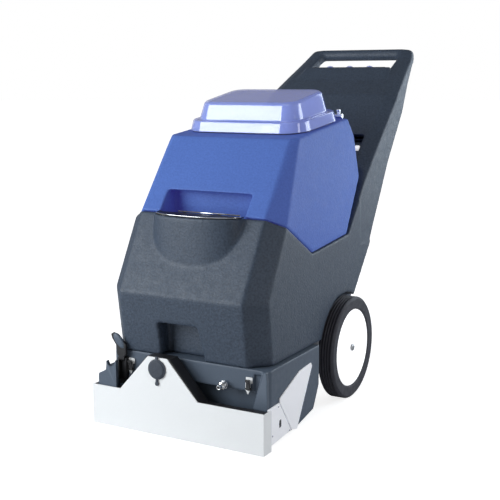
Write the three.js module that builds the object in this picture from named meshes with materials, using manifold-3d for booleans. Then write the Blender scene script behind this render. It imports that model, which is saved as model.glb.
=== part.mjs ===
// A walk-behind carpet cleaner (self-contained carpet extractor), in millimetres, +Z up.
// The machine faces -Y and the operator walks behind it, at +Y. X is across it.
// All drawing sizes are measured from the front plate: y = 0 is the plate's front face,
// x = 0 the machine's centre plane and z = 0 the floor. The whole machine is then moved
// back so that the origin is the middle of its footprint.
import * as THREE from "three";
import { ConvexGeometry } from "three/addons/geometries/ConvexGeometry.js";
import { mergeVertices } from "three/addons/utils/BufferGeometryUtils.js";
import Module from "manifold-3d";

const wasm = await Module();
wasm.setup();

// ---------------------------------------------------------------- driving sizes
const GAP = 0.5; // air between parts that touch
const SLIVER = 0.02; // facets thinner than this are merged away
const WALL = 5; // rotomoulded wall
const PLATE_HALF = 225.5; // half width of the front plate
const PLATE_TOP = 94;
const PEAK_X = -43.5; // the shoe's peak is left of centre
const PEAK_TOP = 181;
const BODY_HALF = 201; // half width of the main body
const BODY_BOTTOM = 174;
const BELLY = { y: 21.6, z: 316.8 }; // foremost line of the body
const CORNER = 41; // width of the 45 degree front corners
const SEAM_FRONT = { y: 119.4, z: 490.6 }; // where the two tanks meet, in front
const TANK_V = { y: 285, z: 394 }; // lowest line of the recovery tank
const TANK_HEEL = { y: 490, z: 412 };
const TANK_REAR = { y: 597, z: 545 };
const TANK_SHOULDER = { y: 590, z: 650 };
const TANK_TOP = { yFront: 248.7, yRear: 562, z: 656.3, slope: 0.12 };
const TANK_TOP_HALF = 173;
const WHEEL = { y: 468, radius: 128, width: 42, outer: 229 };
const BRUSH = { y: 120, z: 44, radius: 43.4, half: 188 };
const BRUSH_MOTOR = { y: 228, z: 78, radius: 36 };
const FILL_HINGE = { y: 122, z: 493.6 };
const GRIP = { y: 1034, z: 862, radius: 16.5 };
const CAP_STANDOFF = 6.4; // the cleanout cap stands this far in front of the plate
const FOOTPRINT_MIDDLE = (GRIP.y + GRIP.radius - CAP_STANDOFF) / 2;

// ---------------------------------------------------------------- geometry helpers
// A triangle mesh with shared corners as a solid for joining and cutting.
function solid(geometry) {
  const bare = geometry.clone();
  bare.deleteAttribute("normal");
  bare.deleteAttribute("uv");
  const merged = mergeVertices(bare, 1e-4);
  const index = merged.index.array;
  return new wasm.Manifold(
    new wasm.Mesh({
      numProp: 3,
      vertProperties: new Float32Array(merged.attributes.position.array),
      triVerts: new Uint32Array(index),
    }),
  );
}

function geometryOf(manifold) {
  const mesh = manifold.getMesh();
  const count = mesh.vertProperties.length / mesh.numProp;
  const positions = new Float32Array(count * 3);
  for (let i = 0; i < count; i += 1) {
    for (let k = 0; k < 3; k += 1) positions[i * 3 + k] = mesh.vertProperties[i * mesh.numProp + k];
  }
  const geometry = new THREE.BufferGeometry();
  geometry.setAttribute("position", new THREE.BufferAttribute(positions, 3));
  geometry.setIndex(Array.from(mesh.triVerts));
  return geometry;
}

const join = (first, ...rest) => rest.reduce((sum, next) => sum.add(next), first);
const cut = (first, ...rest) => rest.reduce((left, next) => left.subtract(next), first);

function shapeOf(outline) {
  if (outline instanceof THREE.Shape) return outline;
  return new THREE.Shape(outline.map(([u, v]) => new THREE.Vector2(u, v)));
}

function flatExtrude(shape, depth, curveSegments = 8) {
  return new THREE.ExtrudeGeometry(shape, { depth, bevelEnabled: false, curveSegments });
}

// An outline of (y, z) points carried along X from x0 to x1.
function alongX(outline, x0, x1, segments) {
  const shape = shapeOf(outline);
  const turn = new THREE.Matrix4().set(0, 0, 1, x0, 1, 0, 0, 0, 0, 1, 0, 0, 0, 0, 0, 1);
  return solid(flatExtrude(shape, x1 - x0, segments).applyMatrix4(turn));
}

// An outline of (x, z) points carried along Y from y0 to y1.
function alongY(outline, y0, y1, segments) {
  const shape = shapeOf(outline);
  const turn = new THREE.Matrix4().set(1, 0, 0, 0, 0, 0, -1, y1, 0, 1, 0, 0, 0, 0, 0, 1);
  return solid(flatExtrude(shape, y1 - y0, segments).applyMatrix4(turn));
}

// An outline of (x, y) points carried along Z from z0 to z1.
function alongZ(outline, z0, z1, segments) {
  const shape = shapeOf(outline);
  return solid(flatExtrude(shape, z1 - z0, segments).translate(0, 0, z0));
}

function block(x0, x1, y0, y1, z0, z1) {
  const geometry = new THREE.BoxGeometry(x1 - x0, y1 - y0, z1 - z0);
  return solid(geometry.translate((x0 + x1) / 2, (y0 + y1) / 2, (z0 + z1) / 2));
}

// A cylinder between two heights on an axis parallel to X, Y or Z.
function rod(axis, centre, radius, from, to, sides = 24, radiusEnd = radius) {
  const geometry = new THREE.CylinderGeometry(radiusEnd, radius, to - from, sides);
  geometry.translate(0, (from + to) / 2, 0);
  if (axis === "x") geometry.rotateZ(-Math.PI / 2).translate(0, centre[0], centre[1]);
  if (axis === "y") geometry.translate(centre[0], 0, centre[1]);
  if (axis === "z") geometry.rotateX(Math.PI / 2).translate(centre[0], centre[1], 0);
  return solid(geometry);
}

const tube = (axis, centre, outer, inner, from, to, sides = 24) =>
  cut(rod(axis, centre, outer, from, to, sides), rod(axis, centre, inner, from - 1, to + 1, sides));

// The convex body on a list of corner points, each given once and mirrored across x = 0.
function hull(points) {
  const corners = points.flatMap(([x, y, z]) => [
    new THREE.Vector3(x, y, z),
    new THREE.Vector3(-x, y, z),
  ]);
  return solid(new ConvexGeometry(corners));
}

// A closed body through rings of points, each ring convex and with as many points.
function loft(rings) {
  const sides = rings[0].length;
  const index = [];
  for (let r = 0; r + 1 < rings.length; r += 1) {
    for (let i = 0; i < sides; i += 1) {
      const next = (i + 1) % sides;
      const [a, b] = [r * sides + i, r * sides + next];
      index.push(a, b, b + sides, a, b + sides, a + sides);
    }
  }
  const last = (rings.length - 1) * sides;
  for (let i = 1; i + 1 < sides; i += 1) {
    index.push(0, i + 1, i, last, last + i, last + i + 1);
  }
  const geometry = new THREE.BufferGeometry();
  geometry.setAttribute("position", new THREE.Float32BufferAttribute(rings.flat(2), 3));
  geometry.setIndex(index);
  const body = solid(geometry);
  if (body.volume() > 0) return body;
  geometry.setIndex(index.toReversed());
  return solid(geometry);
}

function roundedRectangle(x0, x1, y0, y1, radius) {
  const shape = new THREE.Shape();
  shape.moveTo(x0 + radius, y0);
  shape.lineTo(x1 - radius, y0);
  shape.absarc(x1 - radius, y0 + radius, radius, -Math.PI / 2, 0);
  shape.lineTo(x1, y1 - radius);
  shape.absarc(x1 - radius, y1 - radius, radius, 0, Math.PI / 2);
  shape.lineTo(x0 + radius, y1);
  shape.absarc(x0 + radius, y1 - radius, radius, Math.PI / 2, Math.PI);
  shape.lineTo(x0, y0 + radius);
  shape.absarc(x0 + radius, y0 + radius, radius, Math.PI, Math.PI * 1.5);
  return shape;
}

const finish = {
  blackBody: { color: 0x3d444e, roughness: 0.62, metalness: 0 },
  blueTank: { color: 0x4468b6, roughness: 0.55, metalness: 0 },
  clearLid: { color: 0xa9b2e0, roughness: 0.12, metalness: 0, transparent: true, opacity: 0.55 },
  slate: { color: 0x4a5462, roughness: 0.55, metalness: 0 },
  blackPlastic: { color: 0x24252a, roughness: 0.45, metalness: 0 },
  whiteMetal: { color: 0xe9edf1, roughness: 0.35, metalness: 0.2 },
  greyWhite: { color: 0xd9dae4, roughness: 0.4, metalness: 0.1 },
  rubber: { color: 0x2b2b2e, roughness: 0.85, metalness: 0 },
  whitePlastic: { color: 0xf2f3f4, roughness: 0.45, metalness: 0 },
  steel: { color: 0xb9bcc0, roughness: 0.35, metalness: 0.9 },
  chrome: { color: 0xe2e4e8, roughness: 0.12, metalness: 1 },
  brass: { color: 0xb69a5a, roughness: 0.3, metalness: 1 },
  bristle: { color: 0x3a4a6a, roughness: 0.9, metalness: 0 },
};

const machine = new THREE.Group();
const bench = new THREE.Group();
bench.position.y = -FOOTPRINT_MIDDLE;
machine.add(bench);

function place(name, manifold, look) {
  const tidy = manifold.setTolerance(SLIVER);
  const mesh = new THREE.Mesh(geometryOf(tidy), new THREE.MeshStandardMaterial(look));
  mesh.name = name;
  bench.add(mesh);
}

const SIDES = [
  { word: "left", s: -1 },
  { word: "right", s: 1 },
];
const mirrored = (manifold, s) => (s > 0 ? manifold : manifold.mirror([1, 0, 0]));

// ---------------------------------------------------------------- the two tanks
const tankTopZ = (y) => TANK_TOP.z + (y - TANK_TOP.yFront) * TANK_TOP.slope;

// Half width of the recovery tank at a height: straight below, tapering above.
function tankHalf(z) {
  const start = 440;
  if (z < start) return BODY_HALF;
  return BODY_HALF - ((z - start) * (BODY_HALF - TANK_TOP_HALF)) / (TANK_TOP.z - start);
}

// The outer form of the recovery tank, shrunk by an inset on every face.
function tankForm(inset) {
  const rear = 14; // small corner at the back
  const points = [];
  const add = (y, z, drop = 0) => points.push([tankHalf(z) - inset - drop, y, z]);
  const lower = SEAM_FRONT.z + inset;
  points.push([161.7 - inset * 0.8, SEAM_FRONT.y + inset * 1.4, lower]);
  add(158 + inset, 468 + inset * 1.2);
  add(TANK_V.y, TANK_V.z + inset);
  add(TANK_HEEL.y - rear - inset, TANK_HEEL.z - 1 + inset);
  add(TANK_HEEL.y - inset * 0.5, TANK_HEEL.z + inset, rear);
  add(TANK_REAR.y - rear - inset, TANK_REAR.z);
  add(TANK_REAR.y - inset, TANK_REAR.z, rear);
  add(TANK_SHOULDER.y - rear - inset, TANK_SHOULDER.z);
  add(TANK_SHOULDER.y - inset, TANK_SHOULDER.z, rear);
  add(TANK_TOP.yRear - rear - inset, tankTopZ(TANK_TOP.yRear - rear) - inset);
  add(TANK_TOP.yRear - inset, tankTopZ(TANK_TOP.yRear) - inset, rear);
  points.push([TANK_TOP_HALF - inset, 267.3 + inset, tankTopZ(267.3) - inset]);
  points.push([155.6 - inset * 0.8, TANK_TOP.yFront + inset, TANK_TOP.z - inset]);
  return hull(points);
}

// The hand recess over the filler, in the front of the recovery tank.
function handRecess(grow) {
  const mouth = new THREE.Shape();
  const half = 112 + grow;
  const roof = 537 + grow;
  const radius = 6;
  mouth.moveTo(-half, 440);
  mouth.lineTo(half, 440);
  mouth.lineTo(half, roof - radius);
  mouth.absarc(half - radius, roof - radius, radius, 0, Math.PI / 2);
  mouth.lineTo(-half + radius, roof);
  mouth.absarc(-half + radius, roof - radius, radius, Math.PI / 2, Math.PI);
  return alongY(mouth, 60, 186 + grow, 4);
}

const LID = { half: 161, y0: 293, y1: 542, corner: 58, flange: 24, dome: 42, wall: 3 };
const LID_LIFT = 3.3; // thickness of the lid's gasket and its gaps
const lidTilt = Math.atan(TANK_TOP.slope);

// Turns a part drawn level at the tank's front top edge to lie on the sloping tank top.
function onTankTop(manifold) {
  const degrees = (lidTilt * 180) / Math.PI;
  return manifold
    .translate([0, -TANK_TOP.yFront, 0])
    .rotate([degrees, 0, 0])
    .translate([0, TANK_TOP.yFront, TANK_TOP.z]);
}

function recoveryTank() {
  const mouth = roundedRectangle(-138, 138, 318, 520, 40);
  const opening = onTankTop(alongZ(mouth, -30, 30, 5));
  const outlet = rod("z", [0, 440], 30, 380, 430, 20);
  const shell = cut(tankForm(0), handRecess(0), tankForm(4).subtract(handRecess(4)), opening, outlet);
  const inlet = rod("z", [HOSE.riserX, HOSE.riserY], 20, 380, 430, 24);
  place("recovery_tank", cut(shell, inlet), finish.blueTank);
}

// One ring of the lid: a rectangle with round corners, drawn in by an inset at the sides,
// the front and the back, and leaning up towards the back.
function lidRing(z, corner, { side, front = side, back = side, lean = 0 }) {
  const ring = [];
  const [x, y0, y1] = [LID.half - side, LID.y0 + front, LID.y1 - back];
  const centres = [
    [x - corner, y0 + corner, -Math.PI / 2],
    [x - corner, y1 - corner, 0],
    [corner - x, y1 - corner, Math.PI / 2],
    [corner - x, y0 + corner, Math.PI],
  ];
  for (const [cx, cy, start] of centres) {
    for (let step = 0; step <= 5; step += 1) {
      const angle = start + (step / 5) * (Math.PI / 2);
      const y = cy + corner * Math.sin(angle);
      ring.push([cx + corner * Math.cos(angle), y, z + (lean * (y - y0)) / (y1 - y0)]);
    }
  }
  return ring;
}

// The lid's skirt and dome, each leaning in as it rises, shrunk by an inset.
function lidForm(inset) {
  const { corner, flange, dome } = LID;
  const shoulder = LID_LIFT + flange - inset;
  const crest = shoulder + dome;
  const ring = (z, radius, side, front, back, lean = 0) =>
    lidRing(z, radius, { side: side + inset, front: front + inset, back: back + inset, lean });
  const skirt = loft([
    ring(LID_LIFT - (inset ? 5 : 0), corner - inset, 0, 0, 0),
    ring(shoulder, corner - 6 - inset, 6, 10, 6),
  ]);
  const wall = loft([
    ring(shoulder - 1, corner - 16 - inset, 21, 22, 20),
    ring(crest - 4, corner - 24, 31, 38, 30, 9),
    ring(crest, corner - 28, 37, 45, 36, 10),
  ]);
  return join(skirt, wall);
}

function recoveryLid() {
  const shell = cut(lidForm(0), lidForm(LID.wall));
  place("recovery_lid", onTankTop(shell), finish.clearLid);
  const { half, y0, y1, corner } = LID;
  const seat = roundedRectangle(-half + 4.5, half - 4.5, y0 + 4.5, y1 - 4.5, corner - 5);
  const open = roundedRectangle(-140, 140, 316, 522, 41);
  const gasket = cut(alongZ(seat, GAP, LID_LIFT - GAP, 6), alongZ(open, -1, 6, 6));
  place("lid_gasket", onTankTop(gasket), finish.rubber);
}

// Two spring clips at the back corners of the tank top hold the lid down.
function lidClips() {
  for (const { word, s } of SIDES) {
    const barrel = rod("x", [551.5, 6.8], 6, 135, 153, 16);
    const tab = join(block(140, 148, 547, 551, 8, 22), rod("x", [549, 21], 3.4, 140, 148, 12));
    place(`lid_clip_${word}`, mirrored(onTankTop(join(barrel, tab)), s), finish.chrome);
  }
}

// The riser carries air from the dome down to the vacuum motor; its float shuts it when full.
const RISER = { x: 0, y: 440, top: 640, radius: 26 };

function riser() {
  const pipe = tube("z", [RISER.x, RISER.y], RISER.radius, RISER.radius - 3, 404, RISER.top, 20);
  const collar = tube("z", [RISER.x, RISER.y], 38, RISER.radius - 3, 416, 420, 20);
  place("vacuum_riser", join(pipe, collar), finish.blackPlastic);
  const cage = { low: RISER.top + 3, high: RISER.top + 58 };
  const ring = tube("z", [RISER.x, RISER.y], RISER.radius, 13.5, cage.low, cage.low + 5, 20);
  const crown = rod("z", [RISER.x, RISER.y], RISER.radius, cage.high - 4, cage.high, 20);
  const bars = [];
  for (let k = 0; k < 4; k += 1) {
    const angle = (k * Math.PI) / 2 + Math.PI / 4;
    const x = RISER.x + 23.5 * Math.cos(angle);
    const y = RISER.y + 23.5 * Math.sin(angle);
    bars.push(rod("z", [x, y], 2.4, cage.low, cage.high, 10));
  }
  place("float_cage", join(ring, crown, ...bars), finish.blackPlastic);
  const ball = new THREE.SphereGeometry(17, 14, 9).translate(RISER.x, RISER.y, cage.low + 16.5);
  place("float_ball", solid(ball), finish.whitePlastic);
}

// ---------------------------------------------------------------- the main body
// Stations up the handle column, at the edge between its bevelled front and its side:
// half width, the edge's place, bevel width and height, and the back edge's place.
const COLUMN = [
  { x: 200, y: 470, z: 340, bevel: 38, rise: 20, backY: 639, backZ: 373 },
  { x: 199, y: 549, z: 484.5, bevel: 36, rise: 19, backY: 664, backZ: 408 },
  { x: 198, y: 607, z: 543, bevel: 35, rise: 18, backY: 718, backZ: 490 },
  { x: 198, y: 682, z: 618, bevel: 34, rise: 17, backY: 765, backZ: 567 },
  { x: 198, y: 813, z: 740, bevel: 32, rise: 15, backY: 866, backZ: 698 },
  { x: 182, y: 915, z: 800, bevel: 24, rise: 10, backY: 945, backZ: 772 },
  { x: 169, y: 1003, z: 850, bevel: 17, rise: 6, backY: 1026, backZ: 842 },
];

// The section of the column at a station, shrunk by an inset, as a ring of points.
function columnSection(station, inset) {
  const dy = station.backY - station.y;
  const dz = station.backZ - station.z;
  const depth = Math.hypot(dy, dz);
  const [ny, nz] = [dy / depth, dz / depth];
  const { x, y, z, bevel, rise } = station;
  const half = [
    [x - bevel - inset * 0.4, y - ny * (rise - inset), z - nz * (rise - inset)],
    [x - inset, y + ny * inset * 0.6, z + nz * inset * 0.6],
    [x - inset, station.backY - ny * (inset + 9), station.backZ - nz * (inset + 9)],
    [x - inset - 9, station.backY - ny * inset, station.backZ - nz * inset],
  ];
  const other = half.map(([px, py, pz]) => [-px, py, pz]).reverse();
  return [...half, ...other];
}

const columnForm = (inset) => loft(COLUMN.map((station) => columnSection(station, inset)));

// The lower body: bevelled front corners below and above the belly line.
function bodyForm(inset) {
  const half = BODY_HALF - inset;
  const rearY = 527 - inset;
  const ring = (y, z, corner = CORNER) => [
    [half + (inset * 0.6) - corner, y + inset, z],
    [half, y + inset + corner + 4 - inset * 0.6, z],
  ];
  const bottom = BODY_BOTTOM - (inset ? 10 : 0);
  const lower = hull([
    ...ring(42.5, bottom),
    ...ring(BELLY.y, BELLY.z),
    [half, rearY, bottom],
    [half, rearY, 242],
    [half, rearY, BELLY.z],
  ]);
  const shoulder = SEAM_FRONT.z + 6 - inset;
  const upper = hull([
    ...ring(BELLY.y, BELLY.z),
    ...ring(SEAM_FRONT.y + 3.4, shoulder, 38),
    [half, 575 - inset, BELLY.z],
    [half, 560, shoulder],
    [half, rearY, 300],
  ]);
  const heel = hull([
    [half, 400, 242],
    [half, rearY, 242],
    [half, 639 - inset, 373],
    [half, 500, 373],
  ]);
  return join(lower, upper, heel);
}

// Everything above the line on which the recovery tank sits.
function aboveNest(drop) {
  return alongX(
    [
      [-20, SEAM_FRONT.z - drop],
      [SEAM_FRONT.y, SEAM_FRONT.z - drop],
      [TANK_V.y, TANK_V.z - drop],
      [TANK_HEEL.y + drop * 0.7, TANK_HEEL.z - drop],
      [TANK_REAR.y + 14 + drop, TANK_REAR.z + 9],
      [TANK_REAR.y + 14, 900],
      [-20, 900],
    ],
    -260,
    260,
  );
}

const SCOOP = { half: 115, depth: 60, y: 118, rim: 491.5, fullness: 2.5 };

// The front half of the filler's plan, an oval fuller than an ellipse, shrunk by an inset.
function scoopOutline(inset, steps = 24) {
  const [a, b] = [SCOOP.half - inset, SCOOP.depth - inset];
  const power = 2 / SCOOP.fullness;
  const points = [];
  for (let k = 0; k <= steps; k += 1) {
    const angle = (k / steps) * Math.PI;
    const across = Math.abs(Math.cos(angle)) ** power * Math.sign(Math.cos(angle));
    points.push([-a * across, SCOOP.y - b * Math.sin(angle) ** power]);
  }
  return points;
}

// The half-round apron of the filler on the body's front.
function scoopForm(inset) {
  const a = SCOOP.half - inset;
  const outline = [...scoopOutline(inset), [a, SCOOP.y + 40], [-a, SCOOP.y + 40]];
  return alongZ(outline, 372, SCOOP.rim - inset);
}

// The notch low in the body's front that clears the suction hose.
function hoseNotch(grow) {
  const mouth = [
    [-64 - grow, 252 + grow],
    [41 + grow, 252 + grow],
    [57 + grow, BODY_BOTTOM - 20],
    [-60 - grow, BODY_BOTTOM - 20],
  ];
  return alongY(mouth, -10, 76 + grow);
}

function wheelArch(grow) {
  const cylinders = SIDES.map(({ s }) => {
    const reach = [183 - grow, 260].map((x) => x * s).sort((p, q) => p - q);
    return rod("x", [WHEEL.y, WHEEL.radius], WHEEL.radius + 8 + grow, ...reach, 40);
  });
  return join(...cylinders);
}

// The console: a ridge across the column whose back slopes down towards the operator.
const CONSOLE = { ridgeY: 925, ridgeZ: 827, backY: 967, backZ: 789, half: 126 };

function consoleRidge(inset) {
  const { ridgeY, ridgeZ, backY, backZ, half } = CONSOLE;
  return hull([
    [half + 6 - inset, ridgeY, ridgeZ - inset * 1.5],
    [half + 6 - inset, backY - inset * 1.5, backZ],
    [half + 20 - inset, 842, 764 - inset],
    [half + 20 - inset, 858, 742],
    [half + 20 - inset, 925, 768],
  ]);
}

// The hand hole between the console's back and the grip.
function handHole(grow) {
  const { ridgeY, ridgeZ, backY, backZ, half } = CONSOLE;
  return alongX(
    [
      [ridgeY - grow * 1.2, ridgeZ + 60],
      [ridgeY - grow * 1.2, ridgeZ - grow * 0.3],
      [backY - grow, backZ - grow],
      [backY + 1, backZ - 25],
      [GRIP.y + grow, 816 - grow],
      [GRIP.y + grow, ridgeZ + 60],
    ],
    -half - grow,
    half + grow,
  );
}

// The dark pocket below the console, where the tank's back reaches into the column.
function columnPocket(grow) {
  return alongX(
    [
      [560, 560 - grow],
      [655 + grow, 560 - grow],
      [715 + grow, 640 + grow],
      [660, 652 + grow],
      [600, 660 + grow],
    ],
    -154 - grow,
    154 + grow,
  );
}

// The grip: a round bar whose ends droop into the tops of the column's two sides.
function gripBar() {
  const bar = rod("x", [GRIP.y, GRIP.z], GRIP.radius, -130, 130, 20);
  const shoulders = SIDES.map(({ s }) =>
    solid(
      new ConvexGeometry(
        [
          ...ballPoints(s * 127.5, GRIP.y, GRIP.z, GRIP.radius),
          ...ballPoints(s * 147, GRIP.y - 1, GRIP.z - 1, GRIP.radius - 1),
          new THREE.Vector3(s * 167, 1026, 845),
          new THREE.Vector3(s * 169, 998, 847),
          new THREE.Vector3(s * 151, 996, 853),
          new THREE.Vector3(s * 169, 1015, 834),
          new THREE.Vector3(s * 127, 996, 852),
          new THREE.Vector3(s * 127, 1006, 828),
          new THREE.Vector3(s * 160, 1020, 834),
        ],
      ),
    ),
  );
  return join(bar, ...shoulders);
}

function ballPoints(x, y, z, radius) {
  const ball = new THREE.SphereGeometry(radius, 12, 8).translate(x, y, z);
  const places = ball.attributes.position;
  const points = [];
  for (let i = 0; i < places.count; i += 1) {
    points.push(new THREE.Vector3().fromBufferAttribute(places, i));
  }
  return points;
}

const REAR_DOOR = { half: 132, z0: 262, z1: 470 };

function mainBody() {
  const scoop = scoopForm(0);
  const lugs = SIDES.map(({ s }) =>
    mirrored(block(42, 50, FILL_HINGE.y - 3, FILL_HINGE.y + 3, 482, FILL_HINGE.z + 3), s),
  );
  const pinBore = rod("x", [FILL_HINGE.y, FILL_HINGE.z], 1.8, -60, 60, 12);
  const outside = cut(
    join(bodyForm(0), columnForm(0), scoop, consoleRidge(0)),
    aboveNest(GAP + 1),
    hoseNotch(0),
    wheelArch(0),
    handHole(0),
    columnPocket(0),
  );
  const bulkhead = block(-220, 220, 296, 302, 100, 420);
  const solidFrom = 976; // the column's two sides are solid from here to the grip
  const hollow = cut(
    join(bodyForm(WALL), columnForm(WALL + 1)),
    aboveNest(WALL + 2),
    hoseNotch(WALL),
    wheelArch(WALL),
    handHole(WALL),
    columnPocket(WALL),
    bulkhead,
    block(-220, 220, 0, 300, 100, BODY_BOTTOM + WALL),
    block(-220, 220, solidFrom, 1100, 700, 900),
  );
  const fillPort = alongZ(scoopOutline(10), 440, 500);
  const scoopHollow = cut(scoopForm(WALL), aboveNest(WALL));
  const doorway = block(-REAR_DOOR.half, REAR_DOOR.half, 540, 760, REAR_DOOR.z0, REAR_DOOR.z1);
  const vacuumHole = rod("z", [0, RISER.y], 31, 380, 430, 20);
  const inletHole = rod("z", [HOSE.riserX, HOSE.riserY], 22, 380, 430, 24);
  const shell = cut(outside, hollow, scoopHollow, fillPort, doorway, vacuumHole, inletHole);
  place("main_body", cut(join(shell, gripBar(), ...lugs), pinBore), finish.blackBody);
}

// Turns a part drawn level, y down the slope and z away from it, onto the console's back.
function onConsole(manifold) {
  const { ridgeY, ridgeZ, backY, backZ } = CONSOLE;
  const slope = (Math.atan2(backZ - ridgeZ, backY - ridgeY) * 180) / Math.PI;
  return manifold.rotate([slope, 0, 0]).translate([0, ridgeY, ridgeZ]);
}

const SWITCH = { places: [-62, 0, 62], along: 22, plateTop: 2.6 };

function controlConsole() {
  const { plateTop } = SWITCH;
  const plate = alongZ(roundedRectangle(-118, 118, 4, 50, 5), GAP, plateTop, 3);
  const bezel = tube("z", [98, SWITCH.along], 8, 5.6, plateTop - 0.2, plateTop + 4.4, 20);
  place("control_plate", onConsole(join(plate, bezel)), finish.blackPlastic);
  SWITCH.places.forEach((x, i) => {
    const y = SWITCH.along;
    const base = plateTop + 0.4;
    const rocker = alongX(
      [
        [y - 9, base + 3.4],
        [y - 3, base + 1.2],
        [y + 3, base + 1.2],
        [y + 9, base + 3.4],
        [y + 8, base + 7.4],
        [y, base + 6],
        [y - 8, base + 7.4],
      ],
      x - 5,
      x + 5,
    );
    place(`rocker_${i + 1}`, onConsole(rocker), finish.blackPlastic);
    const rim = rod("z", [x, y], 16, base, base + 2, 24);
    const dome = new THREE.SphereGeometry(15, 16, 8).translate(x, y, base + 1);
    const hollow = new THREE.SphereGeometry(13.2, 16, 8).translate(x, y, base + 1);
    const below = block(x - 20, x + 20, y - 20, y + 20, base - 20, base);
    const boot = cut(join(rim, solid(dome)), solid(hollow), below);
    place(`switch_boot_${i + 1}`, onConsole(boot), finish.clearLid);
  });
  const meter = rod("z", [-98, SWITCH.along], 11, plateTop + 0.4, plateTop + 4, 24);
  place("hour_meter", onConsole(meter), finish.blackPlastic);
  const button = rod("z", [98, SWITCH.along], 5, plateTop + 3, plateTop + 9, 16);
  place("breaker_button", onConsole(button), finish.rubber);
}

// The door over the motor bay on the operator's side, set flush into the back wall.
const DOOR_LINE = [
  [546.5, 264.5],
  [639, 373],
  [664, 408.4],
  [703.5, 468],
];

function rearDoor() {
  const inner = DOOR_LINE.map(([y, z]) => [y - 3.4, z + 2.4]).reverse();
  inner[0] = [inner[0][0] + 1.2, DOOR_LINE[3][1]];
  const half = REAR_DOOR.half - GAP;
  const sheet = alongX([...DOOR_LINE, ...inner], -half, half);
  const louvres = [];
  for (let k = 0; k < 6; k += 1) {
    const z = 292 + k * 13;
    louvres.push(block(-52, 52, 530, 760, z, z + 4));
  }
  const glandHole = rod("y", [96, 430], 10.4, 600, 760, 24);
  place("rear_door", cut(sheet, glandHole, ...louvres), finish.blackBody);
  const gland = join(rod("y", [96, 430], 10, 664, 694, 24), rod("y", [96, 430], 14, 688, 700, 6));
  place("cord_inlet_gland", cut(gland, rod("y", [96, 430], 5.5, 670, 720, 16)), finish.blackPlastic);
}

// The white stop knob in the pocket behind the tank.
function stopKnob() {
  place("tank_stop_knob", rod("x", [661, 612], 7, 141, 153.6, 20), finish.whitePlastic);
}

// ---------------------------------------------------------------- filler
function filler() {
  const rimTop = SEAM_FRONT.z - GAP - 1;
  const lid = alongZ(scoopOutline(3), rimTop + 0.4, rimTop + 3.4);
  const barrel = rod("x", [FILL_HINGE.y, FILL_HINGE.z], 3, -40, 40, 14);
  const bridge = block(-38, 38, SCOOP.y - 6, FILL_HINGE.y, rimTop + 0.8, rimTop + 3.2);
  const bore = rod("x", [FILL_HINGE.y, FILL_HINGE.z], 1.6, -50, 50, 12);
  place("fill_lid", cut(join(lid, barrel, bridge), bore), finish.blackPlastic);
  place("fill_lid_pin", rod("x", [FILL_HINGE.y, FILL_HINGE.z], 1.5, -52, 52, 12), finish.steel);
}

function fillStrainer() {
  const rimTop = SEAM_FRONT.z - GAP - 1;
  const brim = alongZ(scoopOutline(10.4), rimTop - 6, rimTop - 4);
  const basket = alongZ(scoopOutline(16), rimTop - 46, rimTop - 4);
  const inside = alongZ(scoopOutline(18), rimTop - 44, rimTop);
  const slots = [-60, -30, 0, 30, 60].map((x) => block(x - 8, x + 8, 40, 118, rimTop - 38, rimTop - 14));
  place("fill_strainer", cut(join(brim, basket), inside, ...slots), finish.whitePlastic);
}

// ---------------------------------------------------------------- chassis and wheels
const DECK = {
  low: 167,
  top: BODY_BOTTOM - GAP,
  half: 206,
  outer: 214,
  front: 44,
  brow: 123.5, // the front's lower edge; below it the front is set back to the recess
  recess: 68,
  rear: 298,
};
const AXLE = { radius: 8, y: WHEEL.y, z: WHEEL.radius };
const HOSE = { radius: 21, riserX: -112, riserY: 352, duct: 138 };

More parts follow.
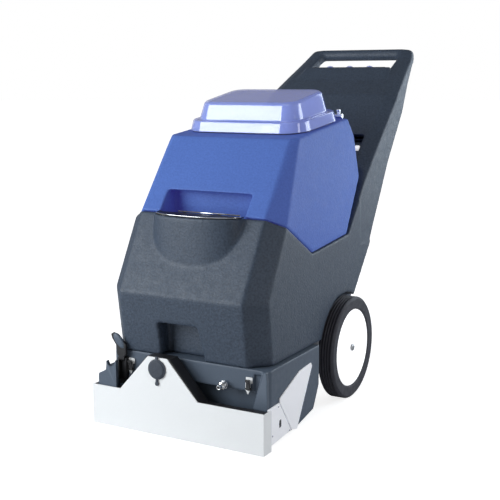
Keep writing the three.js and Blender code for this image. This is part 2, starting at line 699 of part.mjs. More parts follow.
function chassis() {
  const skirt = [
    [38, 14],
    [38, 97],
    [46, 171],
    [60, DECK.top],
    [DECK.rear, DECK.top],
    [DECK.rear, 76],
    [270, 25],
    [180, 8],
    [60, 8],
  ];
  const skirts = SIDES.map(({ s }) => mirrored(alongX(skirt, DECK.half, DECK.outer), s));
  const deck = block(-DECK.half, DECK.half, DECK.front, DECK.rear, DECK.low, DECK.top);
  const front = join(
    block(-DECK.half, DECK.half, DECK.front, DECK.front + 6, DECK.brow, DECK.low),
    block(172, 204, DECK.front + 5, DECK.front + 10, DECK.brow, DECK.low),
    block(-DECK.half, DECK.half, DECK.front, DECK.recess + 6, DECK.brow, DECK.brow + 5),
    block(-DECK.half, DECK.half, DECK.recess, DECK.recess + 6, 60, DECK.brow),
  );
  const back = block(-DECK.half, DECK.half, DECK.rear - 6, DECK.rear, 60, DECK.low);
  const tail = block(-178, 178, DECK.rear - 1, 516, DECK.low, DECK.top);
  const rails = SIDES.map(({ s }) =>
    mirrored(block(168, 176, DECK.rear - 1, 516, AXLE.z - 26, DECK.low), s),
  );
  const rightHorn = alongY(
    [
      [200, 171],
      [DECK.outer, 171],
      [DECK.outer, 88],
      [178, 88],
    ],
    SHOE.back + 1,
    DECK.front + 2,
  );
  const hornBevel = alongZ([[203, 30], [222, 30], [222, 68], [DECK.outer, 56]], 80, 180);
  const leftCorner = alongZ([[-230, 30], [-188, 30], [-188, 44], [-230, 97]], 130, 180);
  const { y: my, z: mz, radius: motorRadius } = BRUSH_MOTOR;
  const saddle = block(0, 36, my - 26, my + 26, mz + 10, DECK.low + 1);
  const seat = rod("x", [my, mz], motorRadius + 0.5, -10, 50, 28);
  const frame = join(
    ...skirts,
    deck,
    front,
    back,
    tail,
    ...rails,
    rightHorn,
    cut(saddle, seat),
  );
  const axleBore = rod("x", [AXLE.y, AXLE.z], AXLE.radius + 0.3, -190, 190, 24);
  const hosePort = rod("y", [PEAK_X, HOSE.duct], HOSE.radius + 1.5, 40, DECK.recess + 10, 24);
  const hoseSide = HOSE.radius + 3;
  const hoseUp = block(
    HOSE.riserX - hoseSide,
    HOSE.riserX + hoseSide,
    DECK.rear - 14,
    HOSE.riserY + hoseSide,
    105,
    180,
  );
  const airPort = rod("z", [RISER.x, RISER.y], 40, 160, 180, 20);
  const hornGap = alongY(
    [
      [178, 125],
      [187, 125],
      [198, 163],
      [178, 163],
    ],
    DECK.front - 1,
    DECK.front + 6,
  );
  const openings = [axleBore, hosePort, hoseUp, airPort, hornBevel, hornGap, leftCorner];
  place("chassis", cut(frame, ...openings), finish.slate);
}

function wheels() {
  const { y, radius, width, outer } = WHEEL;
  const rim = radius - 31;
  const tyreProfile = [
    [rim, 0],
    [radius - 5, 0],
    [radius - 1, 2],
    [radius, 6],
    [radius, width - 6],
    [radius - 1, width - 2],
    [radius - 5, width],
    [rim, width],
    [rim, 0],
  ];
  const discProfile = [
    [AXLE.radius + 0.1, 4],
    [30, 4],
    [34, 12],
    [84, 12],
    [88, 3],
    [rim - 0.4, 3],
    [rim - 0.4, width - 3],
    [88, width - 3],
    [84, width - 9],
    [34, width - 9],
    [30, width - 4],
    [AXLE.radius + 0.1, width - 4],
    [AXLE.radius + 0.1, 4],
  ];
  const lathe = (profile) => {
    const points = profile.map(([r, h]) => new THREE.Vector2(r, h));
    const geometry = new THREE.LatheGeometry(points, 40);
    return solid(geometry.rotateZ(-Math.PI / 2).translate(outer - width, y, radius));
  };
  for (const { word, s } of SIDES) {
    place(`tyre_${word}`, mirrored(lathe(tyreProfile), s), finish.rubber);
    place(`wheel_disc_${word}`, mirrored(lathe(discProfile), s), finish.whitePlastic);
    const cap = join(
      rod("x", [y, radius], 11, outer - 3.6, outer + 0.5, 20, 8),
      rod("x", [y, radius], 9.5, outer - 3.8, outer - 2, 20),
    );
    place(`axle_cap_${word}`, mirrored(cap, s), finish.steel);
  }
  const end = outer - 4.4;
  place("axle", rod("x", [AXLE.y, AXLE.z], AXLE.radius, -end, end, 24), finish.steel);
}

// ---------------------------------------------------------------- vacuum shoe
const SHOE = { front: 3.2, back: 36, top: 88, half: 221, wall: 3, rise: 12 };

const CLEANOUT = { z: 154.4, radius: 23, bore: 14 };

// Outline of a low box with a peak: half width, shoulder height, peak height and base
// height, then the left and right ends of the peak's foot and of its crown.
function peakOutline({ half, top, peak, base, foot, crown }) {
  return [
    [-half, base],
    [half, base],
    [half, top],
    [foot[1], top],
    [crown[1], peak],
    [crown[0], peak],
    [foot[0], top],
    [-half, top],
  ];
}

function vacuumShoe() {
  const { front, back, top, half, wall } = SHOE;
  const outer = peakOutline({ half, top, peak: 180, base: 0, foot: [-151, 69], crown: [-74, -12] });
  const inner = peakOutline({
    half: half - wall,
    top: top - wall,
    peak: 176,
    base: 4,
    foot: [-147, 64],
    crown: [-72, -15],
  });
  const duct = alongY(outer, front, back);
  const hollow = alongY(inner, front + wall, back - wall);
  const slot = block(-212, 212, 12, 24, -2, 8);
  const quadrant = alongY(
    [
      [-212, top - 2],
      [-211, 120],
      [-190, 131],
      [-188.5, 154],
      [-184, 143],
      [-176, 140],
      [-168, 146],
      [-162, 158],
      [-161, top - 2],
    ],
    front + 2,
    front + 11,
  );
  const outlet = rod("y", [PEAK_X, HOSE.duct], HOSE.radius - 3, 30, 40, 24);
  const cleanout = rod("y", [PEAK_X, CLEANOUT.z], CLEANOUT.bore, 2, 10, 24);
  const shell = join(cut(duct, hollow, slot, outlet, cleanout), quadrant);
  place("shoe_duct", shell, finish.blackPlastic);
}

function frontPlate() {
  const outline = peakOutline({
    half: PLATE_HALF,
    top: PLATE_TOP,
    peak: PEAK_TOP,
    base: 0.5,
    foot: [-147, 61],
    crown: [-69, -18],
  });
  const face = alongY(outline, 0, 2.7);
  const returns = SIDES.map(({ s }) =>
    mirrored(block(PLATE_HALF - 2.5, PLATE_HALF, 1, SHOE.back, 0.5, PLATE_TOP - 1), s),
  );
  const cleanout = rod("y", [PEAK_X, CLEANOUT.z], CLEANOUT.bore, -2, 10, 24);
  place("front_plate", cut(join(face, ...returns), cleanout), finish.whiteMetal);
}

function cleanoutCap() {
  const { z, radius, bore } = CLEANOUT;
  const centre = [PEAK_X, z];
  const disc = join(
    rod("y", centre, radius, -3.4, -GAP, 24),
    rod("y", centre, radius - 2.5, -CAP_STANDOFF, -3.3, 24, radius),
  );
  const plug = rod("y", centre, bore - 0.6, -1, 8, 24);
  const tab = block(PEAK_X - 3.5, PEAK_X + 3.5, -4, -GAP, z - 37.7, z - 18.7);
  const stem = block(PEAK_X - 3, PEAK_X + 3, -4, -GAP, z + 17.3, z + 29.3);
  place("cleanout_cap", join(disc, plug, tab, stem), finish.rubber);
}

function sidePlates() {
  const deckPlate = [
    [37, 2.5],
    [37, 92],
    [88, 93],
    [146, 13],
    [54, 7.5],
  ];
  const panel = [
    [91.5, 93],
    [90.5, 102],
    [188.5, 139.6],
    [247, 143.5],
    [252, 135],
    [176, 6.5],
    [150, 12.5],
  ];
  const [x0, x1] = [DECK.outer + 0.4, DECK.outer + 3.2];
  for (const { word, s } of SIDES) {
    const slot = rod("x", [92, 45], 5.5, 210, 220, 16);
    place(`deck_plate_${word}`, mirrored(cut(alongX(deckPlate, x0, x1), slot), s), finish.greyWhite);
    place(`side_panel_${word}`, mirrored(alongX(panel, x0, x1), s), finish.greyWhite);
  }
}

// ---------------------------------------------------------------- things on the chassis front
const LATCH = { right: 167, left: -143, hingeY: 38, hingeZ: 131 };

function latches() {
  for (const { word } of SIDES) {
    const x = LATCH[word];
    const plate = join(
      block(x - 8, x + 8, 41.4, 43.6, 118, 156),
      block(x - 8, x - 5.2, 35.5, 41.6, 126, 136),
      block(x + 5.2, x + 8, 35.5, 41.6, 126, 136),
    );
    const bore = rod("x", [LATCH.hingeY, LATCH.hingeZ], 1.7, x - 20, x + 20, 12);
    place(`latch_plate_${word}`, cut(plate, bore), finish.whiteMetal);
    const arm = join(
      rod("x", [LATCH.hingeY, LATCH.hingeZ], 3.2, x - 4.7, x + 4.7, 14),
      block(x - 4.4, x + 4.4, 35, 38, LATCH.hingeZ, 149),
      rod("x", [LATCH.hingeY, LATCH.hingeZ], 1.5, x - 7.8, x + 7.8, 12),
      block(x - 4.4, x + 4.4, 31, 37.5, 147, 152),
    );
    place(`latch_lever_${word}`, arm, finish.blackPlastic);
  }
}

function quickCoupling() {
  const { x, z } = { x: 106, z: 131 };
  const parts = join(
    rod("y", [x, z], 10, 36, 43.5, 6),
    rod("y", [x, z], 7, 24, 37, 24),
    rod("y", [x, z], 9, 26, 33, 24),
    rod("y", [x, z], 5, 14, 25, 20),
  );
  place("quick_coupling", cut(parts, rod("y", [x, z], 3, 12, 30, 16)), finish.brass);
}

// The height lever for the brush deck: a wide arm with an oval knob, on its bracket.
const LEVER = { x: -166, y: 36, z: 152, cheekLeft: -10, cheekRight: 11, cheek: 3 };

function heightLever() {
  const { x, y, z, cheekLeft, cheekRight, cheek } = LEVER;
  const [left, right] = [x + cheekLeft, x + cheekRight + cheek];
  const cheekLow = SHOE.top + SHOE.rise + 3;
  const back = DECK.front - GAP;
  const bracket = join(
    block(left, left + cheek, 32, back, cheekLow, z + 4),
    block(right - cheek, right, 32, back, cheekLow, z + 4),
    block(left, right, back - 3, back, 92, z + 6),
  );
  const bore = rod("x", [y, z], 2.4, left - 3, right + 3, 14);
  place("lever_bracket", cut(bracket, bore), finish.blackPlastic);
  const hub = rod("x", [y, z], 4, left + cheek + 0.6, right - cheek - 0.6, 16);
  const pin = rod("x", [y, z], 2.1, left + 0.2, right - 0.2, 14);
  const stem = alongY(
    [
      [x - 6, z],
      [x + 10, z],
      [x + 10, z + 8],
      [x + 15, z + 12],
      [x + 16, z + 36],
      [x + 8, z + 44],
      [x - 10, z + 58],
      [x - 20, z + 62],
      [x - 26, z + 58],
      [x - 23, z + 48],
      [x - 11, z + 32],
      [x - 10, z + 12],
      [x - 6, z + 8],
    ],
    y - 6.5,
    y + 0.5,
  );
  place("height_lever", join(hub, pin, stem), finish.blackPlastic);
}

// ---------------------------------------------------------------- brush drive
const BELT = { x0: -189, x1: -179, large: 29, small: 13, thick: 3 };

function brushDrive() {
  const { y, z, radius, half } = BRUSH;
  const core = join(rod("x", [y, z], 24, -half + 14, half, 20), rod("x", [y, z], 8, -204, 204, 20));
  place("brush_core", core, finish.blackPlastic);
  place("brush_bristles", tube("x", [y, z], radius, 24.4, -half + 16, half - 2, 20), finish.bristle);
  for (const { word, s } of SIDES) {
    const bearing = tube("x", [y, z], 16, 8.3, 192, 205.6, 20);
    place(`brush_bearing_${word}`, mirrored(bearing, s), finish.steel);
  }
  const pulley = join(
    tube("x", [y, z], BELT.large, 8.3, BELT.x0, BELT.x1, 20),
    tube("x", [y, z], BELT.large + 2.5, 8.3, BELT.x0 - 1.5, BELT.x0, 20),
    tube("x", [y, z], BELT.large + 2.5, 8.3, BELT.x1, BELT.x1 + 1.5, 20),
  );
  place("brush_pulley", pulley, finish.blackPlastic);
  const { y: my, z: mz } = BRUSH_MOTOR;
  place("brush_motor", rod("x", [my, mz], BRUSH_MOTOR.radius, -150, 60, 28), finish.steel);
  const drive = join(
    rod("x", [my, mz], 5, -192, -150.6, 16),
    rod("x", [my, mz], BELT.small, BELT.x0, BELT.x1, 20),
    rod("x", [my, mz], BELT.small + 2.5, BELT.x0 - 1.5, BELT.x0, 20),
    rod("x", [my, mz], BELT.small + 2.5, BELT.x1, BELT.x1 + 1.5, 20),
  );
  place("motor_pulley", drive, finish.steel);
  place("drive_belt", beltLoop(), finish.rubber);
}

// The belt: the skin between two stretched rounds, open at both faces.
function beltLoop() {
  const run = (grow, spare) => {
    const discs = [
      [BRUSH.y, BRUSH.z, BELT.large + grow],
      [BRUSH_MOTOR.y, BRUSH_MOTOR.z, BELT.small + grow],
    ];
    const points = [];
    for (const [y, z, r] of discs) {
      for (let k = 0; k < 20; k += 1) {
        const angle = (k / 20) * Math.PI * 2;
        for (const x of [BELT.x0 + 0.5 - spare, BELT.x1 - 0.5 + spare]) {
          points.push(new THREE.Vector3(x, y + r * Math.cos(angle), z + r * Math.sin(angle)));
        }
      }
    }
    return solid(new ConvexGeometry(points));
  };
  return cut(run(0.6 + BELT.thick, 0), run(0.6, 3));
}

function sprayBar() {
  const bar = rod("x", [182, 101], 6, -165, 165, 16);
  const tips = [-110, 0, 110].map((x) => rod("z", [x, 182], 3, 84, 100, 12, 6));
  place("spray_bar", join(bar, ...tips), finish.brass);
}

// ---------------------------------------------------------------- motor bay
function motorBay() {
  const { x, y } = RISER;
  const motor = join(
    rod("z", [x, y], 62, 262, 372, 28),
    rod("z", [x, y], 70, 316, 328, 28),
    rod("z", [x, y], 46, 371, 388, 24),
    rod("z", [x, y], 27, 387, 403, 20),
  );
  const intake = rod("z", [x, y], 21, 380, 410, 24);
  place("vacuum_motor", cut(motor, intake), finish.steel);
  const muffler = tube("z", [x, y], 56, 50, DECK.top + GAP, 261.4, 24);
  place("exhaust_muffler", muffler, finish.blackPlastic);
  const pump = join(
    rod("x", [372, 208], 27, 84, 150, 20),
    block(92, 148, 348, 396, DECK.top + GAP, 186),
    block(148, 168, 352, 392, 188, 232),
  );
  place("solution_pump", pump, finish.steel);
}

function suctionHose() {
  const route = new THREE.CatmullRomCurve3(
    [
      [PEAK_X, SHOE.back + GAP, HOSE.duct],
      [PEAK_X, 80, HOSE.duct],
      [-55, 130, HOSE.duct],
      [-84, 200, HOSE.duct + 3],
      [-106, 270, HOSE.duct + 4],
      [HOSE.riserX, 322, 150],
      [HOSE.riserX, HOSE.riserY - 5, 176],
      [HOSE.riserX, HOSE.riserY, 215],
      [HOSE.riserX, HOSE.riserY, 300],
      [HOSE.riserX, HOSE.riserY, 384],
    ].map((p) => new THREE.Vector3(...p)),
  );
  const section = (radius) => {
    const circle = new THREE.Shape();
    circle.absarc(0, 0, radius, 0, Math.PI * 2);
    return circle;
  };
  const swept = (radius) =>
    solid(
      new THREE.ExtrudeGeometry(section(radius), { steps: 24, curveSegments: 4, extrudePath: route }),
    );
  place("suction_hose", swept(HOSE.radius), finish.rubber);
  const pipe = tube("z", [HOSE.riserX, HOSE.riserY], 19, 16, 384.6, 640, 24);
  const collar = tube("z", [HOSE.riserX, HOSE.riserY], 30, 16, 407.5, 411, 24);
  place("inlet_riser", join(pipe, collar), finish.blackPlastic);
}

mainBody();
recoveryTank();
recoveryLid();
lidClips();
riser();
filler();
fillStrainer();
controlConsole();
rearDoor();
stopKnob();
chassis();
wheels();
vacuumShoe();
frontPlate();
cleanoutCap();
sidePlates();
latches();
quickCoupling();
heightLever();
brushDrive();
sprayBar();
motorBay();
suctionHose();

export default machine;
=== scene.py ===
import math

import bmesh
import bpy
from mathutils import Matrix, Vector


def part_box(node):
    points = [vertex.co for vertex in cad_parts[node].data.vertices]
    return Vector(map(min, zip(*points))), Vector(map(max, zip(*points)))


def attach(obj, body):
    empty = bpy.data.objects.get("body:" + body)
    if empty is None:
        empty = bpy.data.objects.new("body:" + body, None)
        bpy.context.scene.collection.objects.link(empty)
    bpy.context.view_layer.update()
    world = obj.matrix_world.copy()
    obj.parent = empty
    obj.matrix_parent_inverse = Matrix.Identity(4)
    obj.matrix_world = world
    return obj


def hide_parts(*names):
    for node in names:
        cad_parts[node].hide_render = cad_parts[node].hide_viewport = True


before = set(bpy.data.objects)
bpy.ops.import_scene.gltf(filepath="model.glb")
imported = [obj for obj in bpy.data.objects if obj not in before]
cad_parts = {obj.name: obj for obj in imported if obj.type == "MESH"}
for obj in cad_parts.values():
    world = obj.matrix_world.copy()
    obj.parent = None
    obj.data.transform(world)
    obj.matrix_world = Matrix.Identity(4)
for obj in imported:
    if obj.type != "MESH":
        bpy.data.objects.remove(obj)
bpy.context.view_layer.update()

MM = 0.001
SIDES = {"left": -1, "right": 1}
UP = Vector((0, 0, 1))
MERGE = 0.00002  # corners closer than this are one corner


# ------------------------------------------------------------------ camera, floor and lights
CAMERA_PLACE = Vector((1.153, -2.2487, 0.7828))
CAMERA_TURN = math.radians(29.09)
CAMERA_DIP = math.radians(9.76)
CAMERA_LENS = 70.23


def make_camera():
    data = bpy.data.cameras.new("camera")
    data.sensor_width = 36
    data.lens = CAMERA_LENS
    camera = bpy.data.objects.new("camera", data)
    camera.location = CAMERA_PLACE
    camera.rotation_euler = (math.pi / 2 - CAMERA_DIP, 0, CAMERA_TURN)
    bpy.context.collection.objects.link(camera)
    bpy.context.scene.camera = camera


# An area light standing round the machine. Turn 0 is straight in front of it, 90 on its right.
def make_light(name, turn, height, distance, size, power, colour):
    data = bpy.data.lights.new(name, "AREA")
    data.shape = "RECTANGLE"
    data.size, data.size_y = size
    data.energy = power
    data.color = colour
    lamp = bpy.data.objects.new(name, data)
    angle = math.radians(turn)
    middle = Vector((0, 0, 0.45))
    place = Vector((math.sin(angle) * distance, -math.cos(angle) * distance, height))
    lamp.location = place
    lamp.rotation_mode = "QUATERNION"
    lamp.rotation_quaternion = (middle - place).to_track_quat("-Z", "Y")
    lamp.visible_camera = False
    bpy.context.collection.objects.link(lamp)


def make_lights():
    make_light("key_wall", -35, 1.15, 2.6, (1.5, 2.0), 62, (0.92, 0.97, 1.0))
    make_light("side_wall", 126, 0.8, 1.75, (0.9, 1.3), 15, (0.86, 0.94, 1.0))
    make_light("rail_strip", 158, 0.9, 1.7, (0.35, 1.3), 6, (0.80, 0.91, 1.0))
    make_light("right_strip", 72, 0.85, 2.4, (0.42, 1.9), 8, (0.98, 0.98, 1.0))
    make_light("overhead", -8, 2.7, 0.9, (1.4, 1.4), 7, (0.92, 0.96, 1.0))


# White where it is seen. Where it lights the machine it is grey, and darker overhead.
def make_world():
    world = bpy.data.worlds.new("studio")
    world.use_nodes = True
    bpy.context.scene.world = world
    nodes, links = world.node_tree.nodes, world.node_tree.links
    nodes.clear()
    seen = nodes.new("ShaderNodeBackground")
    seen.inputs["Color"].default_value = (1, 1, 1, 1)
    seen.inputs["Strength"].default_value = 1.0
    direction = nodes.new("ShaderNodeTexCoord")
    split = nodes.new("ShaderNodeSeparateXYZ")
    height = nodes.new("ShaderNodeMapRange")
    height.inputs["From Min"].default_value = 0.0
    height.inputs["From Max"].default_value = 0.8
    height.inputs["To Min"].default_value = 0.36
    height.inputs["To Max"].default_value = 0.12
    lit = nodes.new("ShaderNodeBackground")
    lit.inputs["Color"].default_value = (1, 0.97, 0.93, 1)
    path = nodes.new("ShaderNodeLightPath")
    mix = nodes.new("ShaderNodeMixShader")
    out = nodes.new("ShaderNodeOutputWorld")
    links.new(direction.outputs["Generated"], split.inputs[0])
    links.new(split.outputs["Z"], height.inputs["Value"])
    links.new(height.outputs[0], lit.inputs["Strength"])
    links.new(path.outputs["Is Camera Ray"], mix.inputs["Fac"])
    links.new(lit.outputs[0], mix.inputs[1])
    links.new(seen.outputs[0], mix.inputs[2])
    links.new(mix.outputs[0], out.inputs["Surface"])


def make_floor():
    mesh = bpy.data.meshes.new("floor")
    work = bmesh.new()
    reach = 40
    rim = [work.verts.new((reach * math.cos(a), reach * math.sin(a), 0)) for a in turns(64)]
    work.faces.new(rim)
    work.to_mesh(mesh)
    work.free()
    floor = bpy.data.objects.new("floor", mesh)
    bpy.context.collection.objects.link(floor)
    paint = bpy.data.materials.new("floor_paper")
    paint.use_nodes = True
    nodes, links = paint.node_tree.nodes, paint.node_tree.links
    shader = nodes["Principled BSDF"]
    shader.inputs["Roughness"].default_value = 0.9
    shader.inputs["Specular IOR Level"].default_value = 0.1
    shader.inputs["Base Color"].default_value = (0.62, 0.62, 0.63, 1)
    glow = nodes.new("ShaderNodeEmission")
    place = nodes.new("ShaderNodeTexCoord")
    distance = nodes.new("ShaderNodeVectorMath")
    distance.operation = "LENGTH"
    strength = nodes.new("ShaderNodeMapRange")
    strength.inputs["From Min"].default_value = 0.9
    strength.inputs["From Max"].default_value = 3.5
    strength.inputs["To Min"].default_value = 0.80
    strength.inputs["To Max"].default_value = 0.99
    links.new(place.outputs["Object"], distance.inputs[0])
    links.new(distance.outputs["Value"], strength.inputs["Value"])
    links.new(strength.outputs[0], glow.inputs["Strength"])
    total = nodes.new("ShaderNodeAddShader")
    path = nodes.new("ShaderNodeLightPath")
    mix = nodes.new("ShaderNodeMixShader")
    links.new(shader.outputs[0], total.inputs[0])
    links.new(glow.outputs[0], total.inputs[1])
    links.new(path.outputs["Is Camera Ray"], mix.inputs["Fac"])
    links.new(shader.outputs[0], mix.inputs[1])
    links.new(total.outputs[0], mix.inputs[2])
    links.new(mix.outputs[0], nodes["Material Output"].inputs["Surface"])
    mesh.materials.append(paint)


def turns(count, start=0.0, whole=2 * math.pi):
    return [start + whole * k / count for k in range(count)]


# ------------------------------------------------------------------ materials
# A small builder for node materials: one Principled shader with object coordinates.
class Look:
    def __init__(self, name, colour, roughness, metallic=0.0):
        self.material = bpy.data.materials.new(name)
        self.material.use_nodes = True
        self.nodes = self.material.node_tree.nodes
        self.links = self.material.node_tree.links
        self.shader = self.nodes["Principled BSDF"]
        self.coords = self.nodes.new("ShaderNodeTexCoord").outputs["Object"]
        self.shader.inputs["Metallic"].default_value = metallic
        self.colour = colour
        self.roughness = roughness

    def noise(self, scale, detail=3.0, stretch=(1, 1, 1)):
        mapping = self.nodes.new("ShaderNodeMapping")
        mapping.inputs["Scale"].default_value = stretch
        texture = self.nodes.new("ShaderNodeTexNoise")
        texture.inputs["Scale"].default_value = scale
        texture.inputs["Detail"].default_value = detail
        self.links.new(self.coords, mapping.inputs["Vector"])
        self.links.new(mapping.outputs[0], texture.inputs["Vector"])
        return texture.outputs["Fac"]

    def spread(self, source, low, high, out_low=0.0, out_high=1.0):
        node = self.nodes.new("ShaderNodeMapRange")
        node.inputs["From Min"].default_value = low
        node.inputs["From Max"].default_value = high
        node.inputs["To Min"].default_value = out_low
        node.inputs["To Max"].default_value = out_high
        self.links.new(source, node.inputs["Value"])
        return node.outputs[0]

    def blend(self, share, first, second):
        node = self.nodes.new("ShaderNodeMix")
        node.data_type = "RGBA"
        self.links.new(share, node.inputs["Factor"])
        for value, socket in ((first, node.inputs["A"]), (second, node.inputs["B"])):
            if isinstance(value, tuple):
                socket.default_value = (*value, 1)
            else:
                self.links.new(value, socket)
        return node.outputs["Result"]

    # Broad, soft changes of tone with a finer speckle over them, and paler colour on sharp convex
    # edges.
    def mottle(self, broad, speckle_scale, speckle, edge_paling=0.0):
        darker = tuple(c * (1 - broad) for c in self.colour)
        lighter = tuple(min(1, c * (1 + broad)) for c in self.colour)
        cloud = self.spread(self.noise(7, 2), 0.3, 0.7)
        tone = self.blend(cloud, darker, lighter)
        grain = self.spread(self.noise(speckle_scale, 4), 0.36, 0.64)
        pale = tuple(min(1, c * (1 + speckle) + 0.012 * speckle) for c in self.colour)
        dark = tuple(c * (1 - speckle) for c in self.colour)
        share = self.nodes.new("ShaderNodeMix")
        share.data_type = "RGBA"
        share.inputs["Factor"].default_value = 0.5
        self.links.new(tone, share.inputs["A"])
        self.links.new(self.blend(grain, dark, pale), share.inputs["B"])
        result = share.outputs["Result"]
        if edge_paling:
            # paler colour where the surface is sharply convex, read from Pointiness
            geometry = self.nodes.new("ShaderNodeNewGeometry")
            edge = self.spread(geometry.outputs["Pointiness"], 0.52, 0.62, 0, edge_paling)
            edge_pale_colour = tuple(min(1, c * 1.5 + 0.06) for c in self.colour)
            result = self.blend(edge, result, edge_pale_colour)
        self.links.new(result, self.shader.inputs["Base Color"])
        return self

    def rough(self, change, scale=40):
        value = self.spread(
            self.noise(scale, 3), 0.3, 0.7, self.roughness - change, self.roughness + change
        )
        self.links.new(value, self.shader.inputs["Roughness"])
        return self

    # Each layer is (height source, depth in metres).
    def bump(self, *layers):
        normal = None
        for source, depth in layers:
            node = self.nodes.new("ShaderNodeBump")
            node.inputs["Distance"].default_value = depth
            node.inputs["Strength"].default_value = 1.0
            self.links.new(source, node.inputs["Height"])
            if normal is not None:
                self.links.new(normal, node.inputs["Normal"])
            normal = node.outputs[0]
        self.links.new(normal, self.shader.inputs["Normal"])
        return self

    def coat(self, weight, roughness):
        self.shader.inputs["Coat Weight"].default_value = weight
        self.shader.inputs["Coat Roughness"].default_value = roughness
        return self

    def specular(self, level):
        self.shader.inputs["Specular IOR Level"].default_value = level
        return self

    # Light of its own, which keeps pale parts and blue plastic bright. The real ones have none.
    def glow(self, colour, strength=1.0):
        self.shader.inputs["Emission Color"].default_value = (*colour, 1)
        self.shader.inputs["Emission Strength"].default_value = strength
        return self


# Rotomoulded polyethylene: a pebbled grain about 5 mm across under a finer tooth. The glow is
# painted light: an emission that brightens the blue one, which gives off no light of its own.
def moulded(name, colour, roughness, speckle, level, glow=(0, 0, 0)):
    look = Look(name, colour, roughness).mottle(0.05, 210, speckle, edge_paling=0.35)
    look.rough(0.06, 60).specular(level).glow(glow)
    look.bump((look.noise(190, 3), 0.0007), (look.noise(900, 2), 0.0001))
    return look.material


def satin_plastic(name, colour, roughness):
    look = Look(name, colour, roughness).mottle(0.05, 500, 0.10, edge_paling=0.4)
    look.rough(0.07, 80).specular(0.4)
    look.bump((look.noise(1100, 2), 0.00006), (look.noise(60, 2), 0.00015))
    return look.material


def rubber(name, colour):
    look = Look(name, colour, 0.62).mottle(0.10, 300, 0.16, edge_paling=0.5)
    look.rough(0.10, 55).specular(0.35)
    look.bump((look.noise(700, 4), 0.0001), (look.noise(90, 2), 0.0002))
    return look.material


# Powder-coated sheet metal: orange peel, faint scuffs along it and a few darker specks.
def coated_metal(name, colour, glow):
    look = Look(name, colour, 0.38, 0.0).mottle(0.012, 700, 0.02, edge_paling=0.0)
    # The glow is painted light: an emission that brightens the sheet.
    look.rough(0.06, 30).coat(0.25, 0.2).glow((1, 1, 1), glow)
    look.bump((look.noise(420, 2), 0.00005), (look.noise(60, 3, (0.08, 1, 1)), 0.00006))
    return look.material


def bare_metal(name, colour, roughness, grain=1200):
    look = Look(name, colour, roughness, 1.0).mottle(0.06, 400, 0.06)
    look.rough(0.06, 90)
    look.bump((look.noise(grain, 2, (0.05, 1, 1)), 0.00003), (look.noise(50, 2), 0.00004))
    return look.material


def white_plastic():
    look = Look("white_plastic", (0.94, 0.94, 0.95), 0.42).mottle(0.01, 300, 0.02)
    # The glow is painted light that keeps the white plastic bright; the real plastic gives off
    # none.
    look.rough(0.06, 40).specular(0.5).glow((1, 1, 1), 0.58)
    look.bump((look.noise(500, 2), 0.00004), (look.noise(30, 2), 0.0001))
    return look.material


# Clear lavender polycarbonate: the blue tank shows through it and it takes a hard shine. Its faint
# blue glow is painted light.
def clear_plastic():
    look = Look("clear_plastic", (0.30, 0.40, 0.88), 0.05).mottle(0.03, 120, 0.03)
    look.rough(0.025, 25).coat(1.0, 0.04).specular(1.0).glow((0.05, 0.055, 0.12))
    look.bump((look.noise(26, 2), 0.0004), (look.noise(160, 2), 0.00005))
    look.shader.inputs["Alpha"].default_value = 0.58
    look.shader.inputs["Coat IOR"].default_value = 1.7
    return look.material


def bristle_look():
    look = Look("bristle_nylon", (0.06, 0.09, 0.16), 0.7).mottle(0.2, 900, 0.4)
    look.rough(0.1, 80)
    look.bump((look.noise(1500, 2), 0.0008))
    return look.material


LOOKS = {}


def make_looks():
    LOOKS.update({
        "black_body": moulded("black_body", (0.044, 0.062, 0.094), 0.50, 0.34, 0.42),
        # the blue tank's glow is painted light that brightens it
        "blue_tank": moulded(
            "blue_tank", (0.074, 0.158, 0.41), 0.48, 0.12, 0.12, (0.014, 0.008, 0.085)
        ),
        "clear_lid": clear_plastic(),
        "slate_plastic": satin_plastic("slate_plastic", (0.080, 0.105, 0.145), 0.46),
        "black_plastic": satin_plastic("black_plastic", (0.016, 0.016, 0.019), 0.42),
        "white_plate": coated_metal("white_plate", (0.87, 0.88, 0.89), 0.02),
        # grey_plate's stronger glow is painted light that brightens the side plates
        "grey_plate": coated_metal("grey_plate", (0.92, 0.92, 0.97), 0.12),
        "soft_rubber": rubber("soft_rubber", (0.050, 0.060, 0.080)),
        "tyre_rubber": rubber("tyre_rubber", (0.038, 0.038, 0.050)),
        "white_plastic": white_plastic(),
        "steel": bare_metal("steel", (0.44, 0.45, 0.47), 0.32),
        "motor_case": bare_metal("motor_case", (0.45, 0.46, 0.48), 0.45, 700),
        "chrome_trim": bare_metal("chrome_trim", (0.80, 0.81, 0.83), 0.12),
        "brass_fitting": bare_metal("brass_fitting", (0.62, 0.48, 0.24), 0.28),
        "bristle_nylon": bristle_look(),
    })


# ------------------------------------------------------------------ mesh tools
def linked(name, mesh):
    piece = bpy.data.objects.new(name, mesh)
    bpy.context.collection.objects.link(piece)
    return piece


# Gives a finished piece its material, body and slot, and hides the nodes it stands for.
def fit(piece, body, slot, *nodes):
    piece.data.materials.clear()
    piece.data.materials.append(LOOKS[slot])
    for face in piece.data.polygons:
        face.use_smooth = True
    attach(piece, body)
    if nodes:
        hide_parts(*nodes)


def from_bmesh(name, work):
    bmesh.ops.remove_doubles(work, verts=work.verts, dist=MERGE)
    bmesh.ops.recalc_face_normals(work, faces=work.faces)
    mesh = bpy.data.meshes.new(name)
    work.to_mesh(mesh)
    work.free()
    return linked(name, mesh)


# Bakes a piece's modifiers into its mesh.
def applied(piece):
    shape = piece.evaluated_get(bpy.context.evaluated_depsgraph_get())
    baked = bpy.data.meshes.new_from_object(shape)
    piece.modifiers.clear()
    old = piece.data
    piece.data = baked
    bpy.data.meshes.remove(old)
    return piece


